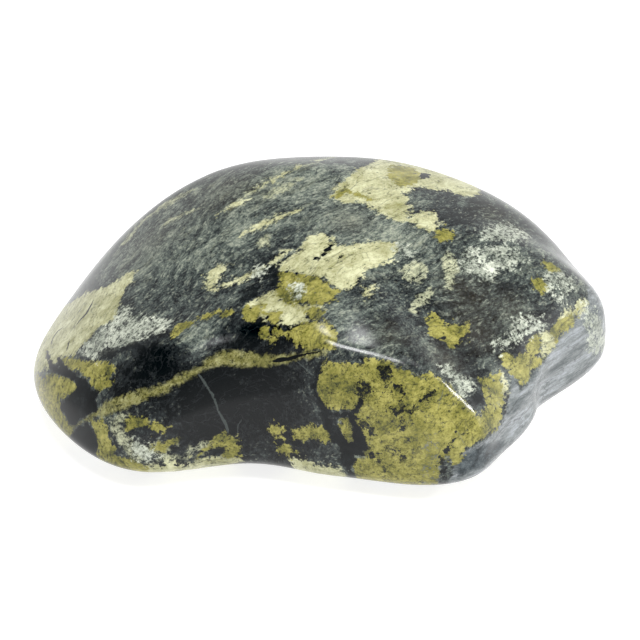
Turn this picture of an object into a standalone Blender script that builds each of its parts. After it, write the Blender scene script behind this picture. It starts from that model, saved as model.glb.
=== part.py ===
"""A polished boulder of serpentine, 300 mm wide, as one solid at its real size.

The stone is a worn, rounded block. Its broad top climbs from a front brow to a crest at the back.
The front wall has two swells with a notch between them, the right wall leans in under its upper
edge and ends in a blunt nose, and the rounded underside rests on one small flat spot.

Frame: metres, +X to the right as seen from the front, +Y to the back, +Z up. The origin is the
middle of the bounding box, level with the flat spot.
"""

import math

import bmesh
import bpy
import numpy as np
from mathutils import Vector

MM = 0.001

# Upright profiles all the way round. Each has its direction in degrees, counted from the right-hand
# nose towards the back, and points on the stone's surface as (reach from the middle axis, height)
# in millimetres: underside, girdle, wall, brow, shoulder and crown.
PROFILES = (
    (0, (134, 12), (149, 29), (147, 47), (137, 60), (111, 80), (66, 98)),  # right nose
    (12, (134, 12), (147, 30), (145, 51), (136, 63), (110, 83), (66, 101)),
    (24, (130, 10), (142, 33), (138, 61), (128, 76), (105, 91), (64, 102)),
    (40, (118, 10), (132, 36), (130, 65), (115, 87), (94, 98), (58, 106)),
    (62, (103, 10), (116, 38), (113, 69), (98, 96), (81, 105), (50, 111)),
    (86, (95, 10), (107, 38), (103, 68), (87, 97), (73, 108), (46, 114)),  # middle of the back
    (108, (95, 10), (107, 38), (104, 66), (88, 96), (74, 108), (47, 115)),
    (126, (100, 10), (112, 38), (108, 65), (93, 94), (80, 106), (50, 113)),
    (144, (114, 10), (128, 38), (125, 62), (107, 86), (88, 99), (55, 110)),
    (162, (128, 10), (141, 33), (136, 48), (121, 67), (98, 84), (62, 104)),
    (180, (138, 11), (149, 28), (143, 37), (129, 51), (105, 73), (66, 96)),  # left end
    (198, (136, 11), (149, 26), (145, 38), (130, 52), (106, 70), (66, 90)),
    (216, (132, 10), (143, 24), (139, 42), (121, 62), (100, 73), (63, 87)),  # left swell
    (231, (121, 10), (131, 24), (125, 46), (105, 70), (89, 79), (57, 88)),
    (246, (93, 10), (101, 26), (100, 50), (88, 75), (76, 82), (52, 90)),  # notch
    (266, (92, 9), (101, 26), (99, 52), (90, 78), (77, 86), (50, 94)),
    (277, (97, 9), (106, 26), (105, 51), (95, 77), (81, 84), (51, 93)),
    (288, (107, 9), (116, 26), (115, 50), (103, 75), (86, 83), (53, 93)),  # right swell
    (297, (116, 9), (125, 25), (122, 44), (110, 68), (91, 78), (55, 92)),
    (306, (119, 9), (128, 23), (129, 35), (120, 51), (98, 68), (57, 90)),
    (315, (115, 10), (123, 24), (123, 34), (116, 47), (96, 66), (58, 90)),  # front right corner
    (324, (114, 11), (121, 26), (121, 37), (115, 48), (97, 67), (59, 90)),
    (333, (112, 12), (120, 27), (121, 39), (116, 50), (98, 69), (60, 92)),  # waist of the right wall
    (342, (113, 12), (121, 28), (123, 42), (118, 53), (100, 73), (62, 94)),
)
STATIONS = len(PROFILES)
LEVELS = len(PROFILES[0]) - 1
SIDE = STATIONS // 4

# The top's height over the middle axis, and the underside's, which the flat spot is cut from.
TOP_HEIGHT = 106.0
FOOT_SHARE = 0.45
FOOT_HEIGHT = -1.5
BELLY_HEIGHT = -3.0

# How crisp the brow is, by direction in degrees, and how crisp the corner is that runs down from its
# right end, from the brow to the wall and on to the girdle. The stone is soft everywhere else.
BROW = 4
BROW_CREASES = {266: 0.3, 277: 0.5, 288: 0.7, 297: 0.8, 306: 0.8}
CORNER = 306
CORNER_CREASES = (0.5, 0.1)

CAGE_ROUNDS = 4
SMOOTH_LEVELS = 2

STONE_COLOUR = (0.13, 0.15, 0.10, 1.0)
STONE_ROUGHNESS = 0.2


def clear_scene():
    for obj in list(bpy.data.objects):
        bpy.data.objects.remove(obj)


def ring(level):
    """One closed contour: the points of that level on every profile, the lowest being level 1."""
    points = []
    for profile in PROFILES:
        turn = math.radians(profile[0])
        reach, height = profile[level]
        points.append(Vector((reach * math.cos(turn), reach * math.sin(turn), height)) * MM)
    return points


def foot_ring():
    """A contour inside the underside, a little below the flat spot's level."""
    points = []
    for point in ring(1):
        points.append(Vector((point.x * FOOT_SHARE, point.y * FOOT_SHARE, FOOT_HEIGHT * MM)))
    return points


def dome_terms(x, y):
    return (1, x, y, x * x, x * y, y * y)


def dome_through(contour, middle_height):
    """The curved sheet that follows a contour and has a given height over the middle axis."""
    points = list(contour) + [Vector((0, 0, middle_height * MM))] * STATIONS
    terms = [dome_terms(p.x, p.y) for p in points]
    heights = [p.z for p in points]
    weights = np.linalg.lstsq(np.array(terms), np.array(heights), rcond=None)[0]
    return lambda x, y: float(np.dot(weights, dome_terms(x, y)))


def spread(contour):
    """Rows of points that carry a contour's positions evenly across its inside."""
    sides = [[contour[(SIDE * s + i) % STATIONS] for i in range(SIDE + 1)] for s in range(4)]
    south, east, north, west = sides[0], sides[1], sides[2][::-1], sides[3][::-1]
    rows = []
    for j in range(SIDE + 1):
        v = j / SIDE
        row = []
        for i in range(SIDE + 1):
            u = i / SIDE
            along = west[j] * (1 - u) + east[j] * u
            across = south[i] * (1 - v) + north[i] * v
            low = south[0] * (1 - u) + south[-1] * u
            high = north[0] * (1 - u) + north[-1] * u
            row.append(along + across - low * (1 - v) - high * v)
        rows.append(row)
    return rows


def rim_index(i, j):
    """The contour's place of a grid point on the rim, or None inside."""
    if j == 0:
        return i
    if i == SIDE:
        return SIDE + j
    if j == SIDE:
        return 3 * SIDE - i
    if i == 0:
        return (4 * SIDE - j) % STATIONS
    return None


def cap(bm, contour_verts, contour, middle_height):
    """Fills a contour with a grid of quads that lies on a dome."""
    dome = dome_through(contour, middle_height)
    misses = [Vector((p.x, p.y, p.z - dome(p.x, p.y))) for p in contour]
    grid = []
    for j, row in enumerate(spread(misses)):
        line = []
        for i, point in enumerate(row):
            rim = rim_index(i, j)
            if rim is None:
                height = point.z + dome(point.x, point.y)
                line.append(bm.verts.new((point.x, point.y, height)))
            else:
                line.append(contour_verts[rim])
        grid.append(line)
    for low, high in zip(grid, grid[1:]):
        for i in range(SIDE):
            bm.faces.new((low[i], low[i + 1], high[i + 1], high[i]))


def crisp_edges(bm, rows):
    """Tightens the brow between the top and the front wall, and the corner below its end."""
    creases = bm.edges.layers.float.new("crease_edge")
    directions = [profile[0] for profile in PROFILES]
    sharpness = [BROW_CREASES.get(direction, 0.0) for direction in directions]
    for k in range(STATIONS):
        after = (k + 1) % STATIONS
        edge = bm.edges.get((rows[BROW][k], rows[BROW][after]))
        edge[creases] = (sharpness[k] + sharpness[after]) / 2
    corner = directions.index(CORNER)
    for step, crease in enumerate(CORNER_CREASES):
        upper, lower = rows[BROW - step][corner], rows[BROW - step - 1][corner]
        bm.edges.get((upper, lower))[creases] = crease


def cage_mesh():
    """The stone's contours joined by quads, with both ends capped."""
    bm = bmesh.new()
    contours = [foot_ring()] + [ring(level) for level in range(1, LEVELS + 1)]
    rows = [[bm.verts.new(point) for point in contour] for contour in contours]
    for low, high in zip(rows, rows[1:]):
        for k in range(STATIONS):
            after = (k + 1) % STATIONS
            bm.faces.new((low[k], low[after], high[after], high[k]))
    cap(bm, rows[0], contours[0], BELLY_HEIGHT)
    cap(bm, rows[-1], contours[-1], TOP_HEIGHT)
    crisp_edges(bm, rows)
    bmesh.ops.recalc_face_normals(bm, faces=bm.faces)
    mesh = bpy.data.meshes.new("stone")
    bm.to_mesh(mesh)
    bm.free()
    return mesh


def smooth_copy(obj):
    """The object's mesh with its modifiers applied."""
    bpy.context.view_layer.update()
    graph = bpy.context.evaluated_depsgraph_get()
    return bpy.data.meshes.new_from_object(obj.evaluated_get(graph))


def fit_cage(obj):
    """Pushes the cage out until the smoothed surface passes through the profiles' own points."""
    fitted = obj.data.vertices[STATIONS : STATIONS * LEVELS]
    wanted = [vert.co.copy() for vert in fitted]
    for _ in range(CAGE_ROUNDS):
        smoothed = smooth_copy(obj)
        for vert, goal in zip(fitted, wanted):
            vert.co += goal - smoothed.vertices[vert.index].co
        bpy.data.meshes.remove(smoothed)


def flat_spot(mesh):
    """Cuts the underside level at height 0 and closes the cut."""
    bm = bmesh.new()
    bm.from_mesh(mesh)
    everything = bm.verts[:] + bm.edges[:] + bm.faces[:]
    cut = bmesh.ops.bisect_plane(
        bm, geom=everything, plane_co=(0, 0, 0), plane_no=(0, 0, 1), clear_inner=True
    )
    rim = [item for item in cut["geom_cut"] if isinstance(item, bmesh.types.BMEdge)]
    bmesh.ops.contextual_create(bm, geom=rim)
    bmesh.ops.recalc_face_normals(bm, faces=bm.faces)
    bm.to_mesh(mesh)
    bm.free()


def centre(mesh):
    """Moves the mesh so that its bounding box stands on the origin."""
    for axis in range(2):
        values = [vert.co[axis] for vert in mesh.vertices]
        middle = (min(values) + max(values)) / 2
        for vert in mesh.vertices:
            vert.co[axis] -= middle


def polished_serpentine():
    material = bpy.data.materials.new("polished_serpentine")
    material.use_nodes = True
    shader = material.node_tree.nodes["Principled BSDF"]
    shader.inputs["Base Color"].default_value = STONE_COLOUR
    shader.inputs["Roughness"].default_value = STONE_ROUGHNESS
    shader.inputs["Metallic"].default_value = 0.0
    return material


def build_stone():
    stone = bpy.data.objects.new("stone", cage_mesh())
    bpy.context.scene.collection.objects.link(stone)
    smoothing = stone.modifiers.new("worn smooth", "SUBSURF")
    smoothing.levels = SMOOTH_LEVELS
    smoothing.render_levels = SMOOTH_LEVELS
    fit_cage(stone)
    finished = smooth_copy(stone)
    stone.modifiers.clear()
    stone.data = finished
    flat_spot(finished)
    centre(finished)
    finished.shade_smooth()
    finished.materials.append(polished_serpentine())
    return stone


clear_scene()
build_stone()
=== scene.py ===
"""The looks of a polished serpentine boulder, 300 mm wide.

The stone is serpentine of several kinds grown through each other: a blue-green ground full of
fine grains, pale wisps along the grain of the rock, olive and cream patches, chalky white grains,
black blots and flecks, a yellow vein that crosses the front wall, and grey fibres down the right
wall. Some light and shade is painted into the colour: a pale sheen of the floor over the grey of
the right wall and the foot of the right swell, a pale sheen along the left skyline, a soft haze of
light on the left brow, and a dark reflection of the shade under the stone at the foot of the front
right corner. It is ground smooth and polished.

Markings are drawn as outlines and strokes in the photograph's 640 by 640 frame. Each is
dropped through the camera onto the stone, kept there as a depth in millimetres inside its edge,
and given its ragged edge and its grain by the material.
"""

import math

import bpy
import numpy as np
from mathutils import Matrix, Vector, noise
from mathutils.kdtree import KDTree


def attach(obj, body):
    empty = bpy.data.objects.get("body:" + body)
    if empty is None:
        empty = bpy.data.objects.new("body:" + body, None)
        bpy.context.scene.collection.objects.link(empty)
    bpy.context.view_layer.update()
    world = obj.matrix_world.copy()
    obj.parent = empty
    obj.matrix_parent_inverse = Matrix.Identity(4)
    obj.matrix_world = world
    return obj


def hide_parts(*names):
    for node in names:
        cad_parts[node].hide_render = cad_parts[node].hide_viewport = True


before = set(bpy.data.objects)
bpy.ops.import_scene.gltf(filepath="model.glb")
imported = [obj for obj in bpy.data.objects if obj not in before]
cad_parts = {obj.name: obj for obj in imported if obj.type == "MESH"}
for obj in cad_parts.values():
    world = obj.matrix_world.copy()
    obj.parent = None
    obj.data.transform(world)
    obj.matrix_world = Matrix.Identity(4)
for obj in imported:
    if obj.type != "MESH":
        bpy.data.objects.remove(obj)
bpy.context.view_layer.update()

MM = 0.001

# Camera: straight on to the front, 27 degrees above the level, far enough off for little perspective.
FRAME_SIDE = 640
LENS = 100.0
SENSOR = 36.0
CAMERA_HEIGHT_ANGLE = math.radians(27)
CAMERA_DISTANCE = 0.9209
CAMERA_TARGET = Vector((-1.3, -4.0, 48.8)) * MM
CAMERA_AHEAD = Vector((0, math.cos(CAMERA_HEIGHT_ANGLE), -math.sin(CAMERA_HEIGHT_ANGLE)))
CAMERA_RIGHT = Vector((1, 0, 0))
CAMERA_UP = CAMERA_RIGHT.cross(CAMERA_AHEAD)
CAMERA_PLACE = CAMERA_TARGET - CAMERA_AHEAD * CAMERA_DISTANCE
PIXELS_AT_ONE_METRE = LENS / SENSOR * FRAME_SIDE

# The crisp right end of the brow and the corner below it: how sharply they turn, how crisp they stay
# when the rest is rounded, and the corners of a box round them in millimetres.
BROW_ANGLE = math.radians(16)
BROW_CREASE = 0.3
BROW_BOX = ((50, -130, 28), (110, -50, 90))

# Points closer than this are one, and how often the facets are halved when they are rounded.
WELD = 0.01 * MM
ROUNDING_LEVELS = 2

# The grain of the rock runs level, this far round from the stone's length towards its back.
GRAIN_TURN = math.radians(46)

# Markings are kept as depths of at most this many millimetres.
FARTHEST = 25.0

# Where the stone turns away from the camera, the drawn markings give way to those of the unseen sides:
# how far it faces the camera (1 full on, 0 edge on) where none and where all of a drawn marking is left.
TURNED_AWAY = (-0.45, -0.05)

# A thin line fades out between these distances beside it in millimetres, and past its end in pixels.
LINE_REACH = (3.0, 5.0)
LINE_END = (1.0, 3.0)

# Patches of each mineral, as outlines in the frame. One that runs over the skyline goes past it. The grey
# of the right wall and of the swell's foot is partly painted reflection, and the slate at the corner's foot
# is painted shade.
PATCHES = {
    "cream": {
        "middle of the top": (
            (279, 270), (281, 264), (288, 259), (297, 252), (302, 244), (312, 236), (322, 234), (331, 240),
            (340, 246), (352, 247), (366, 243), (381, 241), (393, 244), (399, 253), (392, 262), (378, 266),
            (368, 271), (362, 277), (357, 284), (350, 289), (341, 291), (332, 287), (327, 281), (318, 277),
            (306, 275), (293, 273),
        ),
        "below the middle": (
            (243, 306), (252, 300), (262, 297), (271, 291), (280, 289), (284, 293), (288, 297), (284, 301),
            (288, 304), (311, 304), (323, 304), (325, 309), (308, 309), (305, 316), (310, 320), (320, 320),
            (312, 322), (300, 323), (293, 328), (285, 329), (279, 324), (279, 313), (270, 312), (266, 321),
            (263, 321), (258, 314), (250, 309),
        ),
        "back right of the top": (
            (333, 200), (336, 190), (341, 183), (350, 174), (362, 167), (376, 161), (392, 150), (410, 150),
            (437, 160), (455, 172), (476, 184), (480, 194), (470, 196), (455, 193), (447, 190), (438, 191),
            (428, 189), (418, 187), (410, 190), (405, 195), (408, 203), (406, 212), (409, 219), (415, 213),
            (423, 212), (432, 211), (438, 216), (441, 222), (435, 228), (430, 233), (423, 230), (417, 226),
            (410, 222), (400, 221), (390, 218), (380, 214), (372, 207), (362, 203), (350, 203), (341, 202),
        ),
        "left nose": (
            (137, 271), (124, 276), (112, 284), (98, 290), (85, 293), (76, 299), (66, 305), (50, 312),
            (30, 336), (22, 372), (34, 374), (44, 370), (54, 364), (62, 358), (74, 355), (78, 349),
            (84, 343), (91, 337), (97, 329), (103, 325), (110, 322), (117, 316), (119, 308), (121, 300),
            (125, 289), (133, 281),
        ),
        "left of the middle": (
            (203, 276), (210, 270), (218, 267), (228, 265), (226, 270), (219, 275), (222, 280), (214, 284),
            (210, 291), (205, 286),
        ),
        "right edge of the olive": (
            (538, 335), (548, 330), (557, 331), (556, 338), (552, 346), (547, 354), (540, 360), (534, 362),
            (541, 352), (541, 343),
        ),
        "top edge of the right wall": (
            (560, 318), (568, 311), (577, 305), (587, 299), (590, 306), (580, 314), (571, 321), (562, 323),
        ),
        "front right corner": (
            (503, 372), (507, 380), (508, 390), (505, 400), (502, 410), (496, 416), (492, 408), (493, 396),
            (498, 384), (500, 376),
        ),
        "foot of the left lobe": (
            (128, 462), (140, 465), (160, 463), (178, 461), (192, 462), (205, 458), (222, 456), (236, 456),
            (240, 462), (200, 475), (150, 480), (130, 472),
        ),
        "foot of the notch": (
            (292, 455), (300, 459), (312, 462), (325, 467), (338, 469), (348, 476), (330, 482), (300, 475),
            (292, 464),
        ),
    },
    "olive": {
        "under the middle": (
            (278, 273), (290, 272), (305, 275), (318, 277), (328, 281), (335, 287), (343, 291), (336, 296),
            (331, 302), (322, 305), (311, 304), (288, 304), (281, 300), (276, 292), (276, 283),
        ),
        "right spot": ((306, 311), (312, 307), (320, 308), (325, 314), (320, 320), (311, 320)),
        "left spot": ((268, 314), (274, 311), (279, 314), (278, 322), (272, 324), (268, 320)),
        "above the vein": (
            (275, 326), (284, 330), (294, 327), (304, 322), (314, 321), (325, 320), (331, 327), (336, 334),
            (338, 343), (332, 350), (318, 351), (306, 350), (298, 345), (292, 339), (284, 334), (277, 337),
            (272, 342), (270, 336), (273, 330),
        ),
        "arm": (
            (241, 309), (246, 304), (251, 307), (258, 305), (265, 306), (263, 313), (255, 318), (250, 323),
            (246, 322), (243, 316),
        ),
        "small left spot": ((261, 327), (267, 326), (271, 333), (264, 338), (260, 334)),
        "left nose": (
            (62, 360), (66, 357), (75, 358), (84, 360), (92, 361), (100, 361), (110, 363), (114, 370),
            (112, 379), (108, 388), (98, 391), (91, 385), (87, 378), (80, 373), (72, 370), (66, 366),
        ),
        "left end": (
            (25, 372), (45, 376), (55, 376), (66, 377), (76, 382), (78, 390), (72, 394), (64, 396),
            (58, 402), (60, 410), (66, 420), (73, 428), (76, 432), (70, 440), (50, 440), (20, 400),
        ),
        "under the vein": (
            (88, 420), (100, 419), (107, 430), (111, 440), (115, 449), (113, 455), (122, 457), (132, 461),
            (140, 464), (148, 466), (150, 480), (110, 474), (98, 460), (97, 442), (94, 430),
        ),
        "back right": (
            (386, 168), (398, 165), (410, 166), (419, 171), (422, 179), (414, 185), (405, 188), (397, 185),
            (389, 178),
        ),
        "dark right spot": (
            (432, 236), (438, 230), (446, 227), (453, 231), (455, 235), (448, 239), (438, 240),
        ),
        "hook on the right": (
            (428, 317), (434, 315), (441, 320), (446, 325), (453, 325), (461, 322), (469, 323), (470, 331),
            (463, 337), (457, 343), (452, 350), (447, 345), (446, 338), (438, 338), (431, 334), (427, 326),
        ),
        "along the right wall": (
            (503, 350), (515, 355), (525, 351), (530, 341), (537, 333), (542, 337), (541, 348), (536, 356),
            (545, 358), (538, 367), (530, 372), (528, 381), (521, 387), (516, 379), (508, 372), (503, 362),
        ),
        "upper right wall": (
            (548, 333), (553, 324), (561, 321), (570, 315), (580, 309), (578, 318), (566, 331), (556, 340),
        ),
        "yellow grains": ((531, 279), (537, 274), (545, 280), (550, 289), (543, 293), (535, 289)),
        "yellow grains behind": ((541, 262), (549, 261), (556, 265), (561, 271), (552, 273), (545, 268)),
        "right swell": (
            (322, 362), (334, 364), (345, 363), (360, 362), (372, 360), (383, 362), (393, 366), (405, 371),
            (420, 375), (435, 378), (446, 382), (452, 388), (458, 394), (465, 402), (473, 411), (480, 413),
            (486, 407), (484, 396), (480, 388), (480, 379), (493, 376), (500, 372), (504, 385), (504, 400),
            (503, 416), (497, 428), (490, 434), (480, 440), (470, 446), (463, 452), (459, 460), (452, 463),
            (446, 458), (442, 462), (440, 470), (440, 490), (400, 490), (357, 484), (353, 467), (356, 458),
            (365, 456), (361, 450), (368, 447), (362, 438), (356, 428), (351, 416), (349, 410), (342, 411),
            (333, 411), (326, 409), (320, 401), (316, 391), (317, 378), (319, 369),
        ),
        "island": (
            (341, 418), (348, 416), (353, 424), (356, 434), (353, 444), (349, 449), (344, 440), (341, 430),
        ),
        "spot in the notch": ((268, 425), (278, 424), (285, 430), (284, 438), (275, 436), (269, 430)),
        "band in the notch": (
            (293, 431), (300, 428), (310, 427), (320, 424), (330, 430), (336, 439), (325, 441), (312, 437),
            (300, 439),
        ),
        "low in the notch": ((276, 444), (288, 445), (297, 451), (290, 457), (278, 453)),
        "foot of the left lobe": (
            (212, 440), (220, 434), (228, 431), (234, 437), (240, 446), (242, 456), (233, 458), (222, 458),
            (225, 449), (215, 447), (208, 450), (196, 459), (190, 458), (196, 452), (206, 448),
        ),
        "left lobe streak": ((150, 450), (160, 444), (170, 440), (180, 438), (174, 446), (160, 451)),
        "left lobe grains": (
            (123, 424), (130, 418), (142, 417), (154, 421), (168, 427), (162, 432), (150, 431), (138, 429),
            (128, 431),
        ),
    },
    "white": {
        "back right": (
            (483, 233), (490, 229), (498, 227), (508, 223), (516, 227), (524, 230), (529, 236), (522, 240),
            (512, 240), (504, 242), (497, 237), (490, 239), (484, 240),
        ),
        "right of the middle": (
            (460, 262), (466, 254), (474, 249), (484, 247), (496, 245), (508, 247), (520, 252), (526, 258),
            (518, 265), (507, 269), (500, 269), (497, 274), (490, 279), (482, 280), (476, 277), (470, 271),
            (463, 270),
        ),
        "right end": (
            (546, 276), (556, 273), (566, 274), (573, 279), (575, 288), (566, 291), (558, 288), (553, 292),
            (561, 297), (562, 301), (555, 300), (548, 294), (550, 286), (545, 282),
        ),
        "left": (
            (118, 306), (127, 306), (129, 312), (138, 318), (150, 320), (166, 318), (172, 322), (168, 328),
            (158, 332), (150, 336), (140, 341), (130, 345), (118, 349), (108, 352), (100, 358), (88, 356),
            (80, 350), (88, 342), (95, 334), (102, 328), (112, 324), (118, 316),
        ),
        "by the right wall": (
            (491, 345), (498, 339), (505, 338), (512, 336), (518, 330), (513, 323), (522, 319), (532, 319),
            (542, 319), (547, 324), (540, 330), (531, 332), (524, 338), (517, 343), (508, 346), (500, 349),
        ),
        "behind the brow": (
            (440, 365), (450, 368), (458, 374), (463, 381), (470, 382), (477, 386), (472, 393), (462, 394),
            (457, 388), (452, 380), (444, 373),
        ),
        "end of the right wall": (
            (586, 302), (594, 310), (602, 325), (606, 345), (598, 352), (590, 345), (586, 330), (584, 315),
        ),
        "spot in the olive": ((291, 284), (298, 283), (304, 288), (304, 294), (298, 299), (292, 293)),
        "sparks": ((396, 251), (404, 246), (412, 249), (409, 256), (400, 256)),
        "left streak": ((253, 271), (260, 267), (268, 267), (266, 272), (258, 277)),
        "foot of the left lobe": ((132, 444), (138, 440), (146, 450), (158, 457), (150, 462), (138, 458)),
    },
    "wisp": {
        "grainy spot": (
            (402, 272), (408, 265), (416, 262), (424, 264), (430, 270), (428, 278), (420, 283), (411, 282),
            (405, 278),
        ),
        "upright spot": (
            (441, 258), (450, 252), (456, 260), (459, 270), (455, 280), (449, 287), (445, 280), (444, 270),
        ),
        "small back spot": ((258, 243), (262, 237), (268, 233), (270, 236), (265, 243), (260, 247)),
        "left lobe": (
            (112, 419), (120, 413), (127, 415), (122, 424), (126, 434), (134, 442), (139, 452), (146, 461),
            (138, 462), (128, 454), (118, 442), (112, 430),
        ),
    },
    "slate_and_painted_shade": {
        # Painted shade: a dark reflection of the shade under the stone, seen in the polish at the corner's
        # foot.
        "foot of the corner": (
            (456, 468), (462, 457), (472, 450), (484, 445), (498, 440), (506, 444), (498, 454), (486, 463),
            (472, 471), (458, 478),
        ),
    },
    "grey": {
        # Partly grey fibres, partly painted reflection: the pale sheen of the floor on the slanting right
        # wall.
        "right wall": (
            (586, 298), (582, 308), (576, 316), (570, 323), (563, 332), (557, 342), (549, 355), (542, 364),
            (533, 372), (528, 384), (520, 388), (514, 374), (509, 374), (510, 390), (508, 402), (504, 417),
            (498, 430), (488, 438), (475, 445), (463, 452), (459, 462), (452, 476), (446, 482), (470, 500),
            (560, 460), (640, 400), (640, 300), (600, 270), (588, 284),
        ),
        # Painted reflection: a pale haze of the floor in the foot of the right swell.
        "foot of the right swell": (
            (424, 436), (434, 430), (440, 438), (441, 452), (440, 490), (424, 490), (418, 466), (421, 450),
        ),
    },
    "fleck": {
        "left of the middle": (
            (240, 300), (244, 290), (252, 286), (262, 288), (259, 295), (250, 300), (243, 303),
        ),
        "edge of the middle": ((271, 278), (276, 270), (279, 276), (277, 288), (273, 290)),
        "over the left wall": (
            (98, 350), (108, 347), (118, 348), (130, 344), (141, 342), (142, 348), (130, 352), (118, 354),
            (110, 359), (100, 358),
        ),
        "corner fleck": ((472, 396), (478, 392), (484, 398), (482, 405), (475, 407), (471, 402)),
        "fleck in the right swell": (
            (354, 392), (357, 386), (362, 384), (360, 378), (364, 376), (367, 382), (372, 388), (372, 394),
            (366, 395), (361, 398), (359, 404), (357, 398),
        ),
        "low fleck": (
            (456, 436), (453, 444), (452, 452), (449, 456), (444, 452), (447, 446), (450, 440),
        ),
    },
    "black": {
        "left blot": (
            (46, 350), (49, 352), (51, 360), (56, 368), (60, 368), (57, 358), (58, 354), (60, 358),
            (63, 364), (68, 369), (75, 374), (83, 377), (89, 382), (90, 389), (98, 391), (98, 396),
            (95, 399), (97, 404), (98, 410), (91, 413), (84, 418), (80, 421), (74, 425), (70, 424),
            (67, 417), (61, 409), (63, 402), (68, 398), (73, 391), (78, 387), (73, 380), (66, 377),
            (58, 373), (51, 368), (47, 362),
        ),
        "lower left blot": (
            (73, 432), (76, 428), (82, 424), (90, 422), (93, 428), (96, 436), (98, 446), (97, 450),
            (94, 453), (100, 460), (90, 462), (70, 446), (68, 438),
        ),
        "between the swells": (
            (355, 440), (362, 442), (368, 447), (362, 451), (366, 456), (357, 457), (352, 466), (356, 478),
            (350, 480), (345, 467), (338, 461), (340, 455), (344, 449),
        ),
        "bar in the olive": ((418, 176), (423, 173), (432, 174), (429, 178), (421, 179)),
    },
}

# Strokes of each mineral: points in the frame, each with the stroke's width there in millimetres. The wisp
# along the skyline is a painted reflection.
STROKES = {
    "wisp": {
        "back streak": (
            (262, 184, 2), (275, 180, 2), (283, 174, 2), (298, 168, 2), (307, 165, 2), (320, 160, 2),
            (332, 157, 2),
        ),
        "second streak": ((240, 200, 2), (250, 193, 2), (259, 187, 2), (270, 181, 1)),
        "third streak": ((265, 197, 3), (275, 192, 4), (285, 187, 3), (295, 181, 2), (303, 178, 1)),
        "left streak": ((160, 228, 2), (170, 221, 4), (180, 216, 3), (190, 212, 2), (199, 209, 1)),
        "long streak": ((217, 214, 1), (226, 209, 2), (240, 203, 4), (250, 199, 3)),
        "middle streak": ((245, 232, 1), (257, 226, 2), (268, 222, 2), (285, 215, 2), (300, 208, 1)),
        "streak to the middle": ((250, 272, 1), (262, 268, 1), (272, 263, 1), (281, 258, 1)),
        # Painted reflection: a pale sheen where the left edge of the top meets the skyline.
        "skyline": ((124, 243, 4), (144, 220, 5), (161, 207, 6), (182, 195, 5), (192, 190, 3)),
        "right streak": ((429, 290, 3), (425, 297, 4), (418, 304, 3), (412, 311, 2)),
        "upper stripe in the left lobe": ((140, 452, 2), (160, 447, 3), (176, 447, 3)),
        "right stripe in the left lobe": ((188, 452, 3), (205, 447, 3), (222, 440, 3), (232, 437, 2)),
        "low stripe in the left lobe": ((150, 462, 2), (170, 458, 3), (188, 458, 3), (206, 452, 2)),
    },
    "cream": {
        "core of the back streak": ((256, 188, 1), (270, 181, 1.4), (284, 173, 1.6), (300, 166, 1)),
        "core of the middle streak": (
            (240, 237, 0.8), (255, 229, 1.2), (270, 222, 1.2), (285, 215, 1), (300, 209, 0.8),
        ),
        "core of the long streak": ((217, 215, 1), (232, 207, 1.2), (246, 199, 1.6)),
        "core of the streak to the middle": (
            (247, 276, 1), (262, 268, 1.4), (276, 259, 1.2), (286, 251, 1),
        ),
        "small streak": ((215, 288, 1), (225, 284, 3), (238, 280, 3), (250, 275, 2)),
        "drop": ((366, 296, 2), (372, 288, 3)),
    },
    "olive": {
        "left streak": (
            (173, 340, 1), (178, 328, 4), (196, 321, 4), (214, 314, 2), (228, 312, 3), (240, 307, 1),
        ),
        "upper edge": ((337, 198, 3), (345, 191, 4), (358, 194, 4), (372, 200, 3)),
    },
    "vein": {
        "left part": (
            (71, 429, 1), (84, 420, 1.5), (96, 414, 3), (108, 408, 6), (122, 403, 6), (141, 395, 5),
            (160, 390, 4), (179, 380, 4), (190, 374, 3), (200, 369, 2),
        ),
        "right part": (
            (200, 369, 2), (211, 362, 5), (225, 358, 6), (240, 358, 7), (262, 361, 5), (276, 361, 4),
            (296, 357, 3), (312, 354, 4), (325, 352, 3),
        ),
    },
    "fleck": {
        "hook fleck": ((389, 390, 2.1), (393, 385, 2.1), (399, 387, 2.1), (404, 391, 2.1)),
        "top fleck": ((381, 371, 1.4), (386, 371, 3.5), (389, 378, 2.1), (386, 382, 2.1)),
        "star fleck": ((391, 411, 1.4), (398, 410, 2.1), (407, 411, 1.4), (414, 409, 1.4)),
        "star fleck down": ((401, 402, 1.4), (403, 410, 2.1), (404, 420, 1.4)),
        "tick": ((402, 430, 2.1), (405, 427, 1.4), (410, 424, 1.4)),
        "right fleck": ((424, 401, 2.1), (427, 399, 1.4), (431, 393, 2.1)),
        "slanting fleck": ((358, 421, 1.4), (364, 424, 1.4), (370, 429, 1.4), (373, 433, 2.1)),
        "low slanting fleck": ((388, 449, 1.4), (394, 450, 1.4), (400, 455, 1.4), (404, 459, 2.1)),
        "low pair": ((372, 456, 1.4), (378, 457, 2.1), (378, 462, 1.4)),
        "foot crack": ((441, 458, 2.1), (444, 466, 2.1), (443, 472, 1.4), (446, 480, 1.4)),
        "island in the lobe": ((215, 453, 2.1), (220, 450, 3.5), (224, 449, 1.4)),
        "lobe wall": (
            (176, 432, 1.4), (184, 434, 2.1), (183, 446, 2.1), (182, 458, 3.5), (184, 466, 2.8),
        ),
    },
    "black": {
        "left of the right swell": (
            (322, 361, 1), (318, 370, 2), (315, 382, 2), (315, 392, 2), (319, 402, 2), (326, 411, 3),
            (334, 414, 3), (343, 415, 3), (350, 414, 3),
        ),
        "outer fork": ((321, 413, 3), (328, 424, 5), (335, 434, 6.5), (342, 445, 6.5), (348, 453, 6.5)),
        "inner fork": ((350, 413, 3), (354, 424, 3), (358, 436, 5), (363, 447, 5)),
        "crack in the right swell": ((360, 397, 2), (361, 403, 2), (357, 409, 2), (353, 412, 2)),
        "speck in the cream": ((332, 245, 2), (327, 249, 3), (322, 255, 2)),
        "small speck in the cream": ((339, 258, 2), (343, 255, 2)),
        "dot in the cream": ((316, 258, 2), (319, 258, 2)),
    },
}

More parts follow.
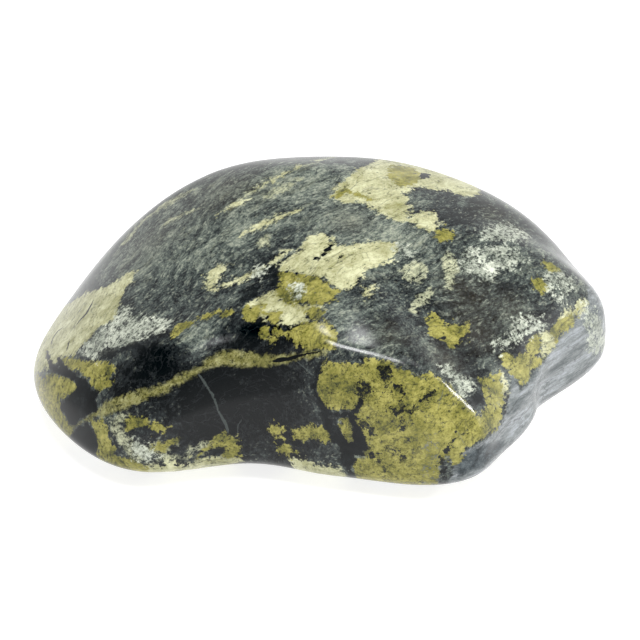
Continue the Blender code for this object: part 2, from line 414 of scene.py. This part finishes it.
# Open cracks: lines in the frame, each point with the crack's width there in millimetres.
CRACKS = {
    "fissure in the vein": (
        (273, 361, 1.0), (280, 360, 2.2), (288, 359, 1.8), (297, 356, 1.6), (306, 354, 1.0),
        (318, 352, 0.8),
    ),
    "long crack on the left nose": (
        (93, 301, 0.6), (90, 307, 1.8), (86, 314, 2.2), (80, 320, 1.8), (76, 325, 0.6),
    ),
    "bent crack on the left nose": ((62, 328, 0.8), (57, 332, 1.6), (53, 338, 1.2), (51, 345, 0.6)),
    "short crack on the left nose": ((69, 342, 1.0), (67, 349, 1.0)),
}

# Healed fractures and scratches: pale hairlines.
HAIRLINES = {
    "healed fracture": (
        (200, 376, 1.0), (208, 388, 1.2), (214, 397, 1.0), (218, 410, 0.8), (226, 424, 1.6),
        (228, 431, 1.2),
    ),
    "branch of it": ((205, 381, 0.4), (211, 395, 0.5), (216, 405, 0.4)),
    "scratch on the right swell": ((443, 392, 0.4), (438, 408, 0.5)),
    "lower scratch": ((458, 432, 0.5), (464, 443, 0.5)),
    "scratch under the vein": ((298, 362, 0.4), (312, 375, 0.5)),
    "hook under the vein": ((238, 432, 0.4), (238, 425, 0.4), (241, 421, 0.3)),
}

# How thickly pale grains are strewn in the ground, with one dab of painted light: place in the frame, reach
# in millimetres, amount.
GRAIN_AND_SHEEN_DABS = (
    (150, 255, 28, 0.10), (200, 220, 30, 0.12), (280, 190, 30, 0.15), (330, 175, 20, 0.14),
    (200, 290, 25, 0.06), (360, 225, 22, 0.16), (410, 245, 22, 0.18), (420, 200, 14, 0.12),
    (500, 215, 22, -0.05), (370, 310, 20, 0.05), (340, 310, 12, 0.10), (420, 340, 22, 0.02),
    (460, 350, 16, -0.18), (418, 300, 16, -0.08), (565, 260, 16, -0.06), (490, 258, 16, 0.12),
    (520, 300, 18, 0.04), (550, 250, 18, 0.10), (470, 350, 14, 0.03), (145, 330, 16, 0.10),
    (250, 400, 34, -0.24), (210, 390, 26, -0.20), (150, 365, 22, -0.18), (290, 380, 22, -0.16),
    (300, 408, 22, 0.02), (305, 388, 8, 0.10), (225, 385, 12, 0.05), (200, 410, 20, -0.16),
    (140, 440, 16, -0.18), (300, 445, 14, -0.14), (200, 440, 14, -0.02), (120, 395, 10, -0.20),
    # The dab at (200, 338) is a painted reflection: a soft bluish haze of light on the left brow.
    (240, 335, 16, -0.20), (160, 352, 12, -0.13), (200, 338, 13, 0.48), (265, 270, 12, -0.14),
    (447, 213, 13, -0.22), (500, 283, 11, -0.12), (543, 311, 9, -0.20), (520, 345, 8, -0.20),
)

# Where the ground is stained brown.
BROWN_DABS = (
    (495, 215, 14, 0.4), (465, 292, 16, 0.5), (350, 222, 10, 0.6), (515, 312, 12, 0.5),
    (390, 335, 10, 0.5), (445, 362, 12, 0.6), (230, 190, 20, 0.5), (150, 240, 16, 0.4),
    (480, 335, 12, 0.5),
)


def pixel_ray(x, y):
    """The direction in which the camera looks through one place of its frame."""
    middle = FRAME_SIDE / 2
    across = CAMERA_RIGHT * ((x - middle) / PIXELS_AT_ONE_METRE)
    upward = CAMERA_UP * ((middle - y) / PIXELS_AT_ONE_METRE)
    return (CAMERA_AHEAD + across + upward).normalized()


def places_in_frame(points):
    """Where points of the stone are seen in the frame."""
    away = points - np.array(CAMERA_PLACE)
    distance = away @ np.array(CAMERA_AHEAD)
    x = FRAME_SIDE / 2 + PIXELS_AT_ONE_METRE * (away @ np.array(CAMERA_RIGHT)) / distance
    y = FRAME_SIDE / 2 - PIXELS_AT_ONE_METRE * (away @ np.array(CAMERA_UP)) / distance
    return np.stack([x, y], axis=1)


def smooth_step(values, low, high):
    """Rises smoothly from 0 at low to 1 at high."""
    share = np.clip((values - low) / (high - low), 0, 1)
    return share * share * (3 - 2 * share)


def add_camera():
    camera = bpy.data.objects.new("camera", bpy.data.cameras.new("camera"))
    camera.data.lens = LENS
    camera.data.sensor_width = SENSOR
    camera.location = CAMERA_PLACE
    camera.rotation_euler = (math.pi / 2 - CAMERA_HEIGHT_ANGLE, 0, 0)
    bpy.context.scene.collection.objects.link(camera)
    bpy.context.scene.camera = camera


def crease_brow(stone):
    """Marks the right end of the brow and the corner below it, so that rounding leaves them crisp."""
    bpy.ops.mesh.select_mode(type="EDGE")
    bpy.ops.mesh.select_all(action="DESELECT")
    bpy.ops.mesh.edges_select_sharp(sharpness=BROW_ANGLE)
    bpy.ops.object.mode_set(mode="OBJECT")
    vertices = stone.data.vertices
    for edge in stone.data.edges:
        middle = (vertices[edge.vertices[0]].co + vertices[edge.vertices[1]].co) / 2
        low, high = BROW_BOX
        edge.select &= all(a < b < c for a, b, c in zip(low, middle / MM, high))
    bpy.ops.object.mode_set(mode="EDIT")
    bpy.ops.transform.edge_crease(value=BROW_CREASE)


def polished_copy():
    """The stone with its facets rounded to the polished surface."""
    bpy.ops.object.select_all(action="DESELECT")
    stone = bpy.data.objects.new("polished_stone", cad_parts["stone"].data.copy())
    bpy.context.scene.collection.objects.link(stone)
    stone.select_set(True)
    bpy.context.view_layer.objects.active = stone
    bpy.ops.object.mode_set(mode="EDIT")
    bpy.ops.mesh.select_all(action="SELECT")
    bpy.ops.mesh.remove_doubles(threshold=WELD)
    bpy.ops.mesh.tris_convert_to_quads()
    crease_brow(stone)
    bpy.ops.object.mode_set(mode="OBJECT")
    rounding = stone.modifiers.new("rounding", "SUBSURF")
    rounding.levels = ROUNDING_LEVELS
    rounding.render_levels = ROUNDING_LEVELS
    bpy.ops.object.modifier_apply(modifier=rounding.name)
    bpy.ops.object.mode_set(mode="EDIT")
    bpy.ops.mesh.select_all(action="SELECT")
    bpy.ops.mesh.poke()
    bpy.ops.object.mode_set(mode="OBJECT")
    bpy.ops.object.shade_smooth()
    return stone


class Surface:
    """The stone's vertices, for drawing on: where they are, and where and how well the frame shows them."""

    def __init__(self, stone):
        self.stone = stone
        self.points = np.array([vertex.co for vertex in stone.data.vertices])
        normals = np.array([vertex.normal for vertex in stone.data.vertices])
        to_camera = np.array(CAMERA_PLACE) - self.points
        to_camera /= np.linalg.norm(to_camera, axis=1)[:, None]
        facing = np.sum(normals * to_camera, axis=1)
        self.seen = smooth_step(facing, *TURNED_AWAY)
        self.places = places_in_frame(self.points)

    def under(self, x, y):
        """The point of the stone under one place of the frame, or None beside the stone."""
        hit, point, _, _ = self.stone.ray_cast(CAMERA_PLACE, pixel_ray(x, y))
        return point if hit else None

    def line_on_stone(self, line, closed):
        """A line of the frame laid on the stone a pixel at a time.

        Each item is a point of the stone, its place in the frame with the width there, and the two
        drawn points that it lies between.
        """
        corners = list(line)
        if closed:
            corners.append(line[0])
        laid = []
        for start, end in zip(corners, corners[1:]):
            steps = max(1, round(math.dist(start[:2], end[:2])))
            for step in range(steps + 1):
                share = step / steps
                now = [a + (b - a) * share for a, b in zip(start, end)]
                point = self.under(now[0], now[1])
                if point is not None:
                    laid.append((point, now, start, end))
        return laid

    def nearest(self, laid):
        """For every vertex, its distance in millimetres to a laid line, and which part of it is nearest."""
        tree = KDTree(len(laid))
        for index, item in enumerate(laid):
            tree.insert(item[0], index)
        tree.balance()
        found = [tree.find(point)[1:] for point in self.points]
        parts = np.array([part for part, _ in found])
        distances = np.array([distance for _, distance in found]) / MM
        return distances, parts

    def inside(self, outline):
        """Which vertices the frame shows inside an outline."""
        x, y = self.places.T
        within = np.zeros(len(x), bool)
        for (x0, y0), (x1, y1) in zip(outline, outline[1:] + outline[:1]):
            if y0 == y1:
                continue
            crosses = (y0 > y) != (y1 > y)
            within ^= crosses & (x < x0 + (y - y0) * (x1 - x0) / (y1 - y0))
        return within

    def keep(self, name, values):
        attribute = self.stone.data.attributes.new(name, "FLOAT", "POINT")
        attribute.data.foreach_set("value", values.astype(np.float32))


def drawn_depth(surface, patches, strokes):
    """How deep each vertex lies inside a mineral's drawn marks, in millimetres; negative outside."""
    depth = np.full(len(surface.points), -FARTHEST)
    if patches:
        edges = []
        within = np.zeros(len(depth), bool)
        for outline in patches.values():
            edges += surface.line_on_stone(outline, closed=True)
            within |= surface.inside(outline)
        distances, _ = surface.nearest(edges)
        depth = np.where(within, distances, -distances)
    if strokes:
        laid = [item for line in strokes.values() for item in surface.line_on_stone(line, closed=False)]
        distances, parts = surface.nearest(laid)
        half_widths = np.array([item[1][2] for item in laid]) / 2
        depth = np.maximum(depth, half_widths[parts] - distances)
    return np.clip(depth, -FARTHEST, FARTHEST)


# The unseen sides carry the same minerals: the patches' size in millimetres, how high the noise has to
# rise to make a patch, and where in the noise the pattern is taken from.
UNSEEN = {
    "cream": (34, 0.16, 11.3),
    "olive": (40, 0.10, 47.9),
    "white": (24, 0.26, 83.1),
    "grey": (60, 0.28, 29.7),
    "black": (30, 0.52, 64.4),
    "fleck": (24, 0.26, 71.5),
    "slate_and_painted_shade": (30, 0.40, 19.2),
    "wisp": (30, 0.22, 91.3),
    "vein": (30, 0.40, 5.8),
}


def unseen_depth(surface, size, threshold, seed):
    """Patches for the sides that the photograph doesn't show, twice as long along the grain of the rock."""
    turn = np.array(
        (
            (math.cos(GRAIN_TURN) / 2, math.sin(GRAIN_TURN) / 2, 0),
            (-math.sin(GRAIN_TURN), math.cos(GRAIN_TURN), 0),
            (0, 0, 1),
        )
    )
    turned = surface.points @ turn.T / (size * MM) + seed
    values = np.array([noise.fractal(Vector(p), 0.6, 2.0, 4) for p in turned])
    return np.clip((values - threshold) * size, -FARTHEST, FARTHEST)


def dabs(surface, places):
    """A soft field built up from round dabs: place in the frame, reach in millimetres, amount."""
    total = np.zeros(len(surface.points))
    for x, y, reach, amount in places:
        point = np.array(surface.under(x, y))
        gap = np.linalg.norm(surface.points - point, axis=1) / (reach * MM)
        total += amount * np.exp(-gap * gap)
    return total


def thin_lines(surface, name, lines):
    """Keeps two fields for thin lines, in millimetres: the signed offset across them, and their width.

    The width falls to nothing away from the lines, so the offset only counts beside them.
    """
    laid = [item for line in lines.values() for item in surface.line_on_stone(line, closed=False)]
    distances, parts = surface.nearest(laid)
    here = np.array([item[1][:2] for item in laid])[parts]
    start = np.array([item[2][:2] for item in laid])[parts]
    end = np.array([item[3][:2] for item in laid])[parts]
    widths = np.array([item[1][2] for item in laid])[parts]
    offset = surface.places - here
    along = end - start
    side = np.sign(along[:, 0] * offset[:, 1] - along[:, 1] * offset[:, 0])
    along_gap = np.abs(np.sum(along * offset, axis=1)) / np.linalg.norm(along, axis=1)
    past_end = smooth_step(along_gap, *LINE_END)
    near = 1 - smooth_step(distances, *LINE_REACH)
    surface.keep(name + "_offset", np.clip(distances, 0, FARTHEST) * side)
    surface.keep(name + "_width", widths * near * (1 - past_end) * (surface.seen > 0.5))


def draw_markings(stone):
    surface = Surface(stone)
    for mineral, (size, threshold, seed) in UNSEEN.items():
        drawn = drawn_depth(surface, PATCHES.get(mineral), STROKES.get(mineral))
        unseen = unseen_depth(surface, size, threshold, seed)
        surface.keep(mineral, drawn * surface.seen + unseen * (1 - surface.seen))
    # Pale grains in the ground, with a painted haze of light on the left brow.
    surface.keep("grains", dabs(surface, GRAIN_AND_SHEEN_DABS))
    surface.keep("brown", dabs(surface, BROWN_DABS))
    thin_lines(surface, "crack", CRACKS)
    thin_lines(surface, "hairline", HAIRLINES)


def linear(hex_colour):
    """An sRGB hex colour as linear red, green, blue and full alpha."""
    channels = [int(hex_colour[i : i + 2], 16) / 255 for i in (1, 3, 5)]
    return [c / 12.92 if c <= 0.04045 else ((c + 0.055) / 1.055) ** 2.4 for c in channels] + [1.0]


def add(tree, kind, settings=None, inputs=None):
    """Adds one node with its settings, and gives its inputs values or links to other nodes' outputs."""
    node = tree.nodes.new(kind)
    for name, value in (settings or {}).items():
        setattr(node, name, value)
    for name, value in (inputs or {}).items():
        if isinstance(value, bpy.types.NodeSocket):
            tree.links.new(value, node.inputs[name])
        else:
            node.inputs[name].default_value = value
    return node


# The mix node goes by number for its two colours and their mixture, as its names stand for several.
MIX_COLOUR = {"data_type": "RGBA"}
COLOUR_A, COLOUR_B, COLOUR_OUT = 6, 7, 2

# The ground's tones from darkest to palest, each with its place on the scale.
GROUND = ((0.10, "#111314"), (0.34, "#252829"), (0.50, "#3e4442"), (0.66, "#646b63"), (0.90, "#969a88"))

# What lies in the ground: olive-grey bands, pale dashes, brown stains, healed fractures, open cracks.
BAND_TONE = "#5b5c49"
DASH_TONE = "#8d9283"
STAIN_TONE = "#443d31"
HEALED_TONE = "#5d6562"
CRACK_TONE = "#0a0c0d"

# Each mineral, in the order in which they lie over each other: its tones, how far its edge wanders and
# how far its grains scatter in millimetres, the edge's softness in millimetres, how much the ground
# shows through (half at 0.5), and its roughness.
MINERALS = {
    # Its tones also paint the pale sheen along the left skyline.
    "wisp": ((0.00, "#4a4e3d"), (0.40, "#80836c"), (0.90, "#adaf92"), 3, 3, 1.4, 0.44, 0.25),
    # Its pale tones are partly painted: the floor's sheen on the right wall and on the foot of the right
    # swell.
    "grey": ((0.15, "#3a4144"), (0.50, "#696e6e"), (0.85, "#92969a"), 3, 2, 1.2, 0.20, 0.25),
    # On the front its one patch is painted shade at the corner's foot; on the unseen sides it is a dark
    # mineral.
    "slate_and_painted_shade": ((0.20, "#1d2325"), (0.50, "#353c3f"), (0.85, "#565e60"), 2, 2, 1.5, 0.20, 0.20),
    "cream": ((0.05, "#7b7a50"), (0.45, "#989875"), (0.85, "#b9b997"), 3, 5, 1.2, 0.30, 0.27),
    "olive": ((0.10, "#3f4228"), (0.40, "#686632"), (0.90, "#979253"), 3, 4, 0.8, 0.35, 0.22),
    "white": ((0.15, "#545a51"), (0.50, "#8f9487"), (0.90, "#c2c6b6"), 3, 7, 1.8, 0.43, 0.30),
    "vein": ((0.10, "#45482a"), (0.45, "#615f35"), (0.90, "#8b8a62"), 1.5, 1.8, 1.3, 0.38, 0.24),
    "fleck": ((0.20, "#0e1011"), (0.60, "#181b1c"), (0.90, "#282c2d"), 2, 5, 0.3, 0.42, 0.17),
    "black": ((0.20, "#0e1011"), (0.60, "#16191a"), (0.90, "#232728"), 1.5, 2.5, 0.3, 0.0, 0.17),
}


def serpentine():
    """Polished serpentine: a waxy, slightly translucent rock whose minerals take the polish unevenly.

    The dark ground shines most and the cream and white grains least. Grains are 0.5 to 1 mm in the
    real stone and are drawn at about 1.5 mm, the least that shows.
    """
    material = bpy.data.materials.new("polished_serpentine")
    material.use_nodes = True
    tree = material.node_tree
    shader = tree.nodes["Principled BSDF"]
    place = add(tree, "ShaderNodeTexCoord").outputs["Object"]
    in_mm = add(
        tree, "ShaderNodeVectorMath", {"operation": "SCALE"}, {0: place, "Scale": 1 / MM}
    ).outputs[0]

    # The rock was squeezed while it grew, so its grain flows in bends about 30 mm long and 9 mm deep.
    wide = {"Vector": in_mm, "Scale": 1 / 30, "Detail": 1}
    bend = add(tree, "ShaderNodeTexNoise", inputs=wide).outputs["Color"]
    swing = {0: bend, 1: (18, 18, 18), 2: in_mm}
    flowing = add(tree, "ShaderNodeVectorMath", {"operation": "MULTIPLY_ADD"}, swing).outputs[0]

    def stretched(where, length):
        """Coordinates in which a pattern is drawn out along the grain of the rock."""
        turn = {"Vector": where, "Rotation": (0, 0, GRAIN_TURN), "Scale": (length, 1, 1)}
        return add(tree, "ShaderNodeMapping", {"vector_type": "TEXTURE"}, turn).outputs[0]

    def lumps(where, size, detail, roughness=0.6):
        """Noise whose largest lumps are about that many millimetres across."""
        about = {"Vector": where, "Scale": 1 / size, "Detail": detail, "Roughness": roughness}
        return add(tree, "ShaderNodeTexNoise", inputs=about).outputs["Fac"]

    grain = lumps(stretched(in_mm, 1.4), 1.5, 3, 0.85)
    mottle = lumps(stretched(flowing, 1.6), 6, 6, 0.75)
    streak = lumps(stretched(flowing, 3.5), 4, 6, 0.72)
    cloud = lumps(in_mm, 28, 2)
    tinge = lumps(flowing, 13, 3)
    edge = lumps(stretched(flowing, 1.5), 9, 6, 0.7)
    seam = lumps(stretched(flowing, 7), 9, 3, 0.55)
    dashes = lumps(stretched(flowing, 2.5), 1.6, 2, 0.5)
    flake = lumps(stretched(in_mm, 1.3), 3, 3, 0.65)
    bands = lumps(stretched(in_mm, 9), 5, 6, 0.75)

    def measured(name):
        return add(tree, "ShaderNodeAttribute", {"attribute_name": name}).outputs["Fac"]

    def sum_of(start, *terms):
        """A running total of start and of (value, weight) pairs, each value about its middle of 0.5."""
        total = start
        for value, weight in terms:
            centred = add(
                tree, "ShaderNodeMath", {"operation": "SUBTRACT"}, {0: value, 1: 0.5}
            ).outputs[0]
            total = add(
                tree, "ShaderNodeMath", {"operation": "MULTIPLY_ADD"}, {0: centred, 1: weight, 2: total}
            ).outputs[0]
        return total

    def step(value, low, high):
        return add(
            tree,
            "ShaderNodeMapRange",
            {"interpolation_type": "SMOOTHSTEP"},
            {"Value": value, "From Min": low, "From Max": high},
        ).outputs["Result"]

    def times(value, other):
        return add(tree, "ShaderNodeMath", {"operation": "MULTIPLY"}, {0: value, 1: other}).outputs[0]

    def over(share, below, above):
        return add(
            tree, "ShaderNodeMix", MIX_COLOUR, {"Factor": share, COLOUR_A: below, COLOUR_B: above}
        ).outputs[COLOUR_OUT]

    def toned(value, tones):
        """A colour that runs through the given tones as the value rises."""
        ramp = add(tree, "ShaderNodeValToRGB", inputs={"Fac": value})
        stops = ramp.color_ramp.elements
        for stop, (position, tone) in zip([stops[0], stops[1]] + [None] * len(tones), tones):
            stop = stop or stops.new(position)
            stop.position = position
            stop.color = linear(tone)
        return ramp.outputs["Color"]

    # The ground: near-black blue-green, greyer in clouds and streaks, with a fine pale grain.
    shade = sum_of(0.427, (mottle, 0.75), (streak, 0.9), (cloud, 0.5), (grain, 0.95))
    # The grains also carry a painted haze of light on the left brow.
    grains_and_sheen = {0: shade, 1: measured("grains")}
    shade = add(tree, "ShaderNodeMath", {"operation": "ADD"}, grains_and_sheen).outputs[0]
    ground = toned(shade, GROUND)
    tint = times(step(bands, 0.50, 0.72), step(shade, 0.38, 0.60))
    ground = over(times(tint, 0.5), ground, linear(BAND_TONE))
    dashed = times(step(dashes, 0.58, 0.68), step(shade, 0.12, 0.60))
    ground = over(times(dashed, 0.55), ground, linear(DASH_TONE))
    colour = over(times(measured("brown"), 0.45), ground, linear(STAIN_TONE))
    duller = {"Value": shade, "From Min": 0.2, "From Max": 0.9, "To Min": 0.16, "To Max": 0.26}
    roughness = add(tree, "ShaderNodeMapRange", inputs=duller).outputs["Result"]

    # The tone within a mineral, the bands of the grey fibres, and where the ground shows through.
    tone = sum_of(0.5, (mottle, 1.2), (grain, 1.2), (streak, 0.8), (tinge, 1.3))
    banded = sum_of(0.5, (bands, 2.2), (grain, 0.5), (streak, 0.4))
    through = sum_of(0.5, (flake, 0.5), (grain, 1.0), (streak, 0.6))

    # Thin dark seams run along the grain, through everything but the flecks and the black.
    beside = add(tree, "ShaderNodeMath", {"operation": "SUBTRACT"}, {0: seam, 1: 0.5}).outputs[0]
    beside = add(tree, "ShaderNodeMath", {"operation": "ABSOLUTE"}, {0: beside}).outputs[0]
    seams = times(step(beside, 0.014, 0.002), 0.45)
    for mineral, values in MINERALS.items():
        tones, (wander, scatter, softness, bare, polish) = values[:3], values[3:]
        if mineral == "fleck":
            colour = over(seams, colour, linear(GROUND[1][1]))
        strays = (edge, wander * 4), (flake, scatter * 2.5), (grain, scatter * 1.5)
        reach = sum_of(measured(mineral), *strays)
        share = times(step(reach, -softness, softness), step(through, bare - 0.14, bare + 0.14))
        colour = over(share, colour, toned(banded if mineral == "grey" else tone, tones))
        roughness = add(
            tree, "ShaderNodeMix", {"data_type": "FLOAT"}, {"Factor": share, 2: roughness, 3: polish}
        ).outputs[0]

    def line_share(name, wobble):
        """How much of the surface a set of thin lines covers, with unsteady edges."""
        offset = sum_of(measured(name + "_offset"), (grain, wobble), (edge, wobble))
        away = add(tree, "ShaderNodeMath", {"operation": "ABSOLUTE"}, {0: offset}).outputs[0]
        half = times(measured(name + "_width"), 0.5)
        left = add(tree, "ShaderNodeMath", {"operation": "SUBTRACT"}, {0: half, 1: away}).outputs[0]
        return step(left, -0.15, 0.15)

    hairline = times(line_share("hairline", 1.0), 0.32)
    colour = over(hairline, colour, linear(HEALED_TONE))
    crack = line_share("crack", 1.5)
    colour = over(crack, colour, linear(CRACK_TONE))

    tree.links.new(colour, shader.inputs["Base Color"])
    tree.links.new(roughness, shader.inputs["Roughness"])
    shader.inputs["IOR"].default_value = 1.56
    shader.inputs["Specular IOR Level"].default_value = 0.28

    # The softer minerals polish a little lower, which ripples the reflections.
    height = sum_of(0.0, (edge, 0.3), (grain, 0.04))
    bump = add(
        tree, "ShaderNodeBump", inputs={"Height": height, "Distance": 0.1 * MM, "Strength": 0.3}
    ).outputs[0]
    tree.links.new(bump, shader.inputs["Normal"])
    return material


def add_floor():
    """A matt opal acrylic sheet, lit from below so that the stone throws hardly a shadow on it."""
    bpy.ops.object.select_all(action="DESELECT")
    bpy.ops.mesh.primitive_plane_add(size=8)
    floor = bpy.context.object
    floor.name = "floor"
    acrylic = bpy.data.materials.new("lit_opal_acrylic")
    acrylic.use_nodes = True
    shader = acrylic.node_tree.nodes["Principled BSDF"]
    shader.inputs["Base Color"].default_value = linear("#bcbcbc")
    shader.inputs["Roughness"].default_value = 0.9
    shader.inputs["Specular IOR Level"].default_value = 0.1
    shader.inputs["Emission Color"].default_value = (1, 1, 1, 1)
    shader.inputs["Emission Strength"].default_value = 0.78
    floor.data.materials.append(acrylic)


# Lights: name, direction from the stone in degrees (round from the front towards the right, and up),
# distance in metres, width and height in metres, and power in watts. In the polish the smaller ones
# show as short streaks along the crisp brow, and the wide ones as a haze on the soft edges.
LIGHTS = (
    ("overhead soft box", 180, 80, 0.9, (0.17, 0.24), 2.3),
    ("high front window", -8, 61, 1.0, (0.18, 0.32), 5.4),
    ("front soft box", 20, 52, 1.0, (0.32, 0.26), 4.5),
    ("right lamp", 83, 25, 1.0, (0.11, 0.10), 2.6),
    ("right window", 95, 12, 1.0, (0.50, 0.28), 0.7),
    ("window over the right one", 78, 52, 1.0, (0.50, 0.35), 1.2),
)

# The white room's glow, at the horizon and straight above.
ROOM_GLOW = (1.15, 0.15)

# Tones darker than this print as black, as they do in the photograph.
BLACK_POINT = 0.02


def add_lights():
    middle = Vector((0, 0, 50 * MM))
    for name, around, up, distance, size, power in LIGHTS:
        around, up = math.radians(around), math.radians(up)
        level = Vector((math.sin(around), -math.cos(around), 0))
        aside = level * math.cos(up) + Vector((0, 0, math.sin(up)))
        light = bpy.data.lights.new(name, "AREA")
        light.shape = "RECTANGLE"
        light.size, light.size_y = size
        light.energy = power
        lamp = bpy.data.objects.new(name, light)
        lamp.location = middle + aside * distance
        lamp.rotation_euler = (middle - lamp.location).to_track_quat("-Z", "Y").to_euler()
        lamp.visible_camera = False
        bpy.context.scene.collection.objects.link(lamp)
    world = bpy.data.worlds.new("white room")
    world.use_nodes = True
    tree = world.node_tree
    direction = add(tree, "ShaderNodeTexCoord").outputs["Generated"]
    height = add(tree, "ShaderNodeSeparateXYZ", inputs={"Vector": direction}).outputs["Z"]
    fading = {"Value": height, "To Min": ROOM_GLOW[0], "To Max": ROOM_GLOW[1]}
    glow = add(tree, "ShaderNodeMapRange", inputs=fading).outputs["Result"]
    tree.links.new(glow, tree.nodes["Background"].inputs["Strength"])
    tree.nodes["Background"].inputs["Color"].default_value = (1, 1, 1, 1)
    bpy.context.scene.world = world


add_camera()
add_floor()
add_lights()
stone = polished_copy()
draw_markings(stone)
stone.data.materials.clear()
stone.data.materials.append(serpentine())
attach(stone, "root")
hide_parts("stone")
view = bpy.context.scene.view_settings
view.view_transform = "Standard"
view.use_curve_mapping = True
view.curve_mapping.black_level = (BLACK_POINT, BLACK_POINT, BLACK_POINT)
